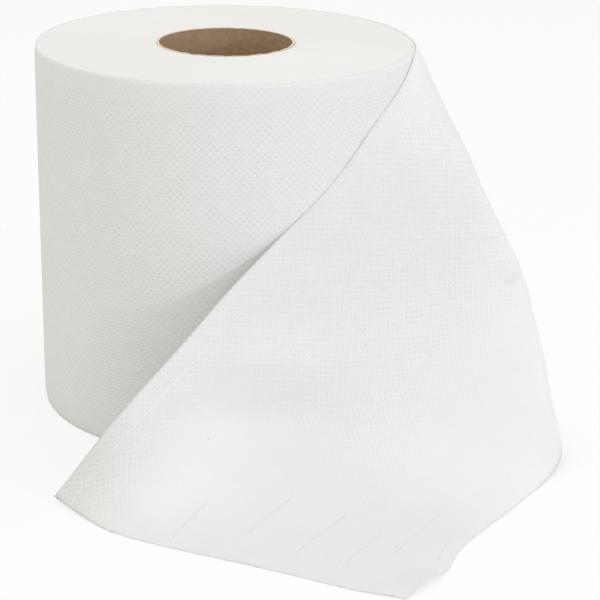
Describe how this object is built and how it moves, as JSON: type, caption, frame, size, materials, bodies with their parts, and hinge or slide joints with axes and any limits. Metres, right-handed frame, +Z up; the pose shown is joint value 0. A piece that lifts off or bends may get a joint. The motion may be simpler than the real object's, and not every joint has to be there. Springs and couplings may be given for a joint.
{
  "type": "paper towel roll",
  "caption": "Roll of white embossed paper towel on a kraft core, standing on end, with its free end pulled off the rim and lying on the table in front.",
  "frame": {"origin": "on the roll's axis, at its lower end face, which stands on the table", "axes": "+Z up along the roll's axis, +X to the right and -Y towards the person in front, where the free end lies"},
  "size_m": [0.2753, 0.3478, 0.194],
  "materials": {
    "towel_paper": "white two-ply tissue, embossed with small dots, matt",
    "kraft_board": "brown spiral-wound kraft board, matt"
  },
  "bodies": {
    "root": {"paper_web": "towel_paper", "core_tube": "kraft_board"}
  },
  "joints": []
}
